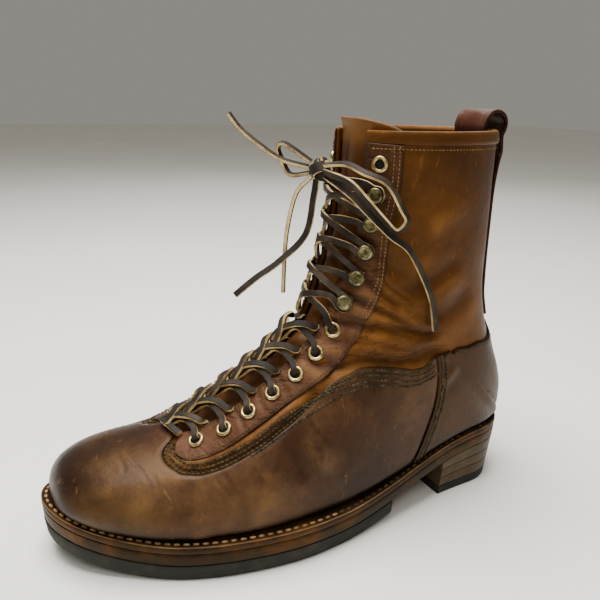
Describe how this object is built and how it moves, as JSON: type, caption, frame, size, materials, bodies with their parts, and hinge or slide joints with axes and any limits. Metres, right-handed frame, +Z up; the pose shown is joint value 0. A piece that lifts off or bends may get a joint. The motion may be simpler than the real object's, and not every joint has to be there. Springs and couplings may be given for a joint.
{
  "type": "logger boot",
  "caption": "Left lace-to-toe leather logger boot with a tall shaft, hook and eyelet lacing, stitched welt, half rubber sole, stacked heel and a pull loop.",
  "frame": {"origin": "Middle of the boot's box without the bow and lace ends, on the floor it stands on", "axes": "+Y heel, -Y toe, along the boot's length; +X outer side of a left boot; +Z up"},
  "size_m": [0.1184, 0.3114, 0.2525],
  "materials": {
    "shaft_leather": "oiled tan brown, satin",
    "vamp_leather": "waxed dark brown with a soft shine",
    "counter_leather": "waxed red brown with a soft shine",
    "facing_leather": "oiled brown, satin",
    "strap_leather": "red brown, satin",
    "tongue_leather": "tan, soft",
    "insole_leather": "worn natural leather",
    "welt_leather": "dark brown edge with pale stitches",
    "midsole_leather": "dark brown dressed edge",
    "heel_leather": "stacked, dark dressed edge",
    "black_rubber": "matt",
    "pale_brass": "worn",
    "antique_brass": "antique, dull",
    "lace_leather": "rawhide with pale cut edges"
  },
  "bodies": {
    "root": {"bow_knot": "lace_leather", "bow_loop_lateral": "lace_leather", "bow_loop_medial": "lace_leather", "collar_binding": "strap_leather", "counter": "counter_leather", "eyelet_lateral_1": "pale_brass", "eyelet_lateral_2": "pale_brass", "eyelet_lateral_3": "pale_brass", "eyelet_lateral_4": "pale_brass", "eyelet_lateral_5": "pale_brass", "eyelet_lateral_6": "pale_brass", "eyelet_lateral_7": "pale_brass", "eyelet_lateral_8": "pale_brass", "eyelet_medial_1": "pale_brass", "eyelet_medial_2": "pale_brass", "eyelet_medial_3": "pale_brass", "eyelet_medial_4": "pale_brass", "eyelet_medial_5": "pale_brass", "eyelet_medial_6": "pale_brass", "eyelet_medial_7": "pale_brass", "eyelet_medial_8": "pale_brass", "facing_lateral": "facing_leather", "facing_medial": "facing_leather", "heel_lift_1": "heel_leather", "heel_lift_2": "heel_leather", "heel_lift_3": "heel_leather", "heel_top_lift": "black_rubber", "hook_lateral_1": "antique_brass", "hook_lateral_2": "antique_brass", "hook_lateral_3": "antique_brass", "hook_lateral_4": "antique_brass", "hook_lateral_5": "antique_brass", "hook_medial_1": "antique_brass", "hook_medial_2": "antique_brass", "hook_medial_3": "antique_brass", "hook_medial_4": "antique_brass", "hook_medial_5": "antique_brass", "insole": "insole_leather", "lace_end_a": "lace_leather", "lace_end_b": "lace_leather", "lace_end_c": "lace_leather", "lace_end_d": "lace_leather", "lace_lower": "lace_leather", "lace_upper": "lace_leather", "midsole": "midsole_leather", "outsole": "black_rubber", "pull_loop": "strap_leather", "tongue": "tongue_leather", "upper": "shaft_leather", "vamp": "vamp_leather", "welt": "welt_leather"}
  },
  "joints": []
}
